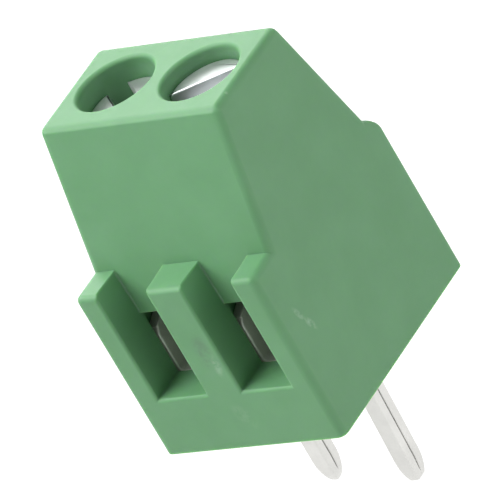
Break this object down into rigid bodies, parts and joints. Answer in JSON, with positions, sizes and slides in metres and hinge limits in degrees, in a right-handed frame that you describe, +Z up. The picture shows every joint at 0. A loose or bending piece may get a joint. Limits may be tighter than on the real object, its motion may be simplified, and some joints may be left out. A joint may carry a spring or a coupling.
{
  "type": "pcb screw terminal",
  "caption": "Rising-clamp screw terminal for a circuit board: sloped green housing, open wire entries, slotted screws, clamp cages and folded double-layer solder pins.",
  "frame": {"origin": "centre of the row of solder pins, on the board plane", "axes": "+Z up off the board along the screws; +X along the row of poles; -Y towards the wires"},
  "size_m": [0.0054, 0.0064, 0.012],
  "materials": {
    "housing": "satin moulded polyamide, soft light green",
    "screws": "bright zinc plated",
    "cages": "nickel plated strip, satin",
    "contacts": "matte tin plated strip"
  },
  "bodies": {
    "base": {"housing": "housing", "solder_contact_1": "contacts", "solder_contact_2": "contacts"},
    "screw_1": {"clamp_screw_1": "screws"},
    "screw_2": {"clamp_screw_2": "screws"},
    "cage_1": {"clamp_cage_1": "cages"},
    "cage_2": {"clamp_cage_2": "cages"}
  },
  "joints": [
    {"name": "screw_turn_1", "type": "hinge", "parent": "base", "child": "screw_1", "pos_m": [-0.00127, 0.00044, 0.006], "axis": [0, 0, 1], "range_deg": [-1620, 0]},
    {"name": "screw_turn_2", "type": "hinge", "parent": "base", "child": "screw_2", "pos_m": [0.00127, 0.00044, 0.006], "axis": [0, 0, 1], "range_deg": [-1620, 0]},
    {"name": "cage_rise_1", "type": "slide", "parent": "base", "child": "cage_1", "axis": [0, 0, 1], "range_m": [0, 0.00158]},
    {"name": "cage_rise_2", "type": "slide", "parent": "base", "child": "cage_2", "axis": [0, 0, 1], "range_m": [0, 0.00158]}
  ],
  "couplings": [
    {"joint": "screw_turn_1", "follows": "cage_rise_1", "rad_per_m": -17950},
    {"joint": "screw_turn_2", "follows": "cage_rise_2", "rad_per_m": -17950}
  ]
}
